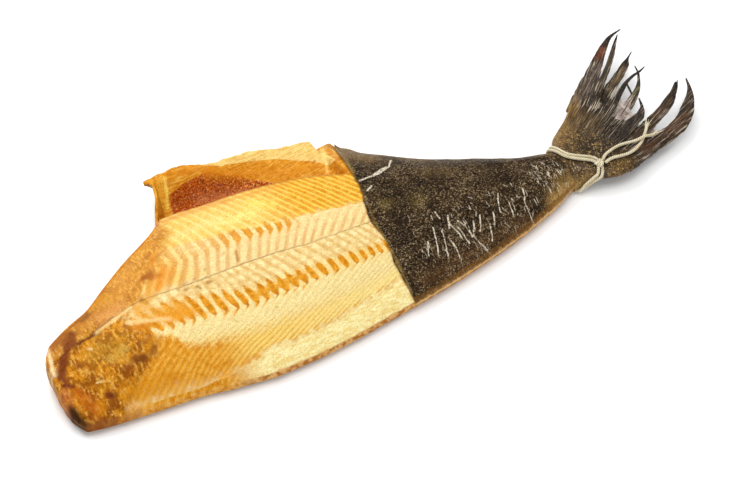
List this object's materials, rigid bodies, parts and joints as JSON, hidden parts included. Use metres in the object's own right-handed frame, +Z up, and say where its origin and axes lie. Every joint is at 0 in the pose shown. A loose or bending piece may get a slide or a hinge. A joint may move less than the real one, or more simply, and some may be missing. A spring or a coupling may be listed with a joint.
{
  "type": "smoked greenland halibut",
  "caption": "Headless, gutted, cold-smoked flatfish lying on its blind side: bare golden muscle in front, dark skin behind, an open belly and a tail tied with twine.",
  "frame": {"origin": "middle of the outline seen from above, on the surface that the fish lies on", "axes": "+X from the head cut to the tail, +Y from the back to the belly, +Z up from the blind side to the eyed side"},
  "size_m": [0.5311, 0.1915, 0.0397],
  "materials": {
    "smoked_meat": "oily, cream bars between golden-orange muscle segments",
    "dark_skin": "dark grey-brown, fine scales, slightly wrinkled and oily",
    "blind_skin": "tan-brown, fine scales, smoke-stained",
    "fin": "dried dark brown rays with pale lines",
    "cotton_twine": "undyed twisted cotton"
  },
  "bodies": {
    "root": {"flesh": "smoked_meat", "skin_eyed_side": "dark_skin", "skin_blind_side": "blind_skin", "tail_fin": "fin", "tie_string": "cotton_twine", "string_end_upper": "cotton_twine", "string_end_lower": "cotton_twine"}
  },
  "joints": []
}
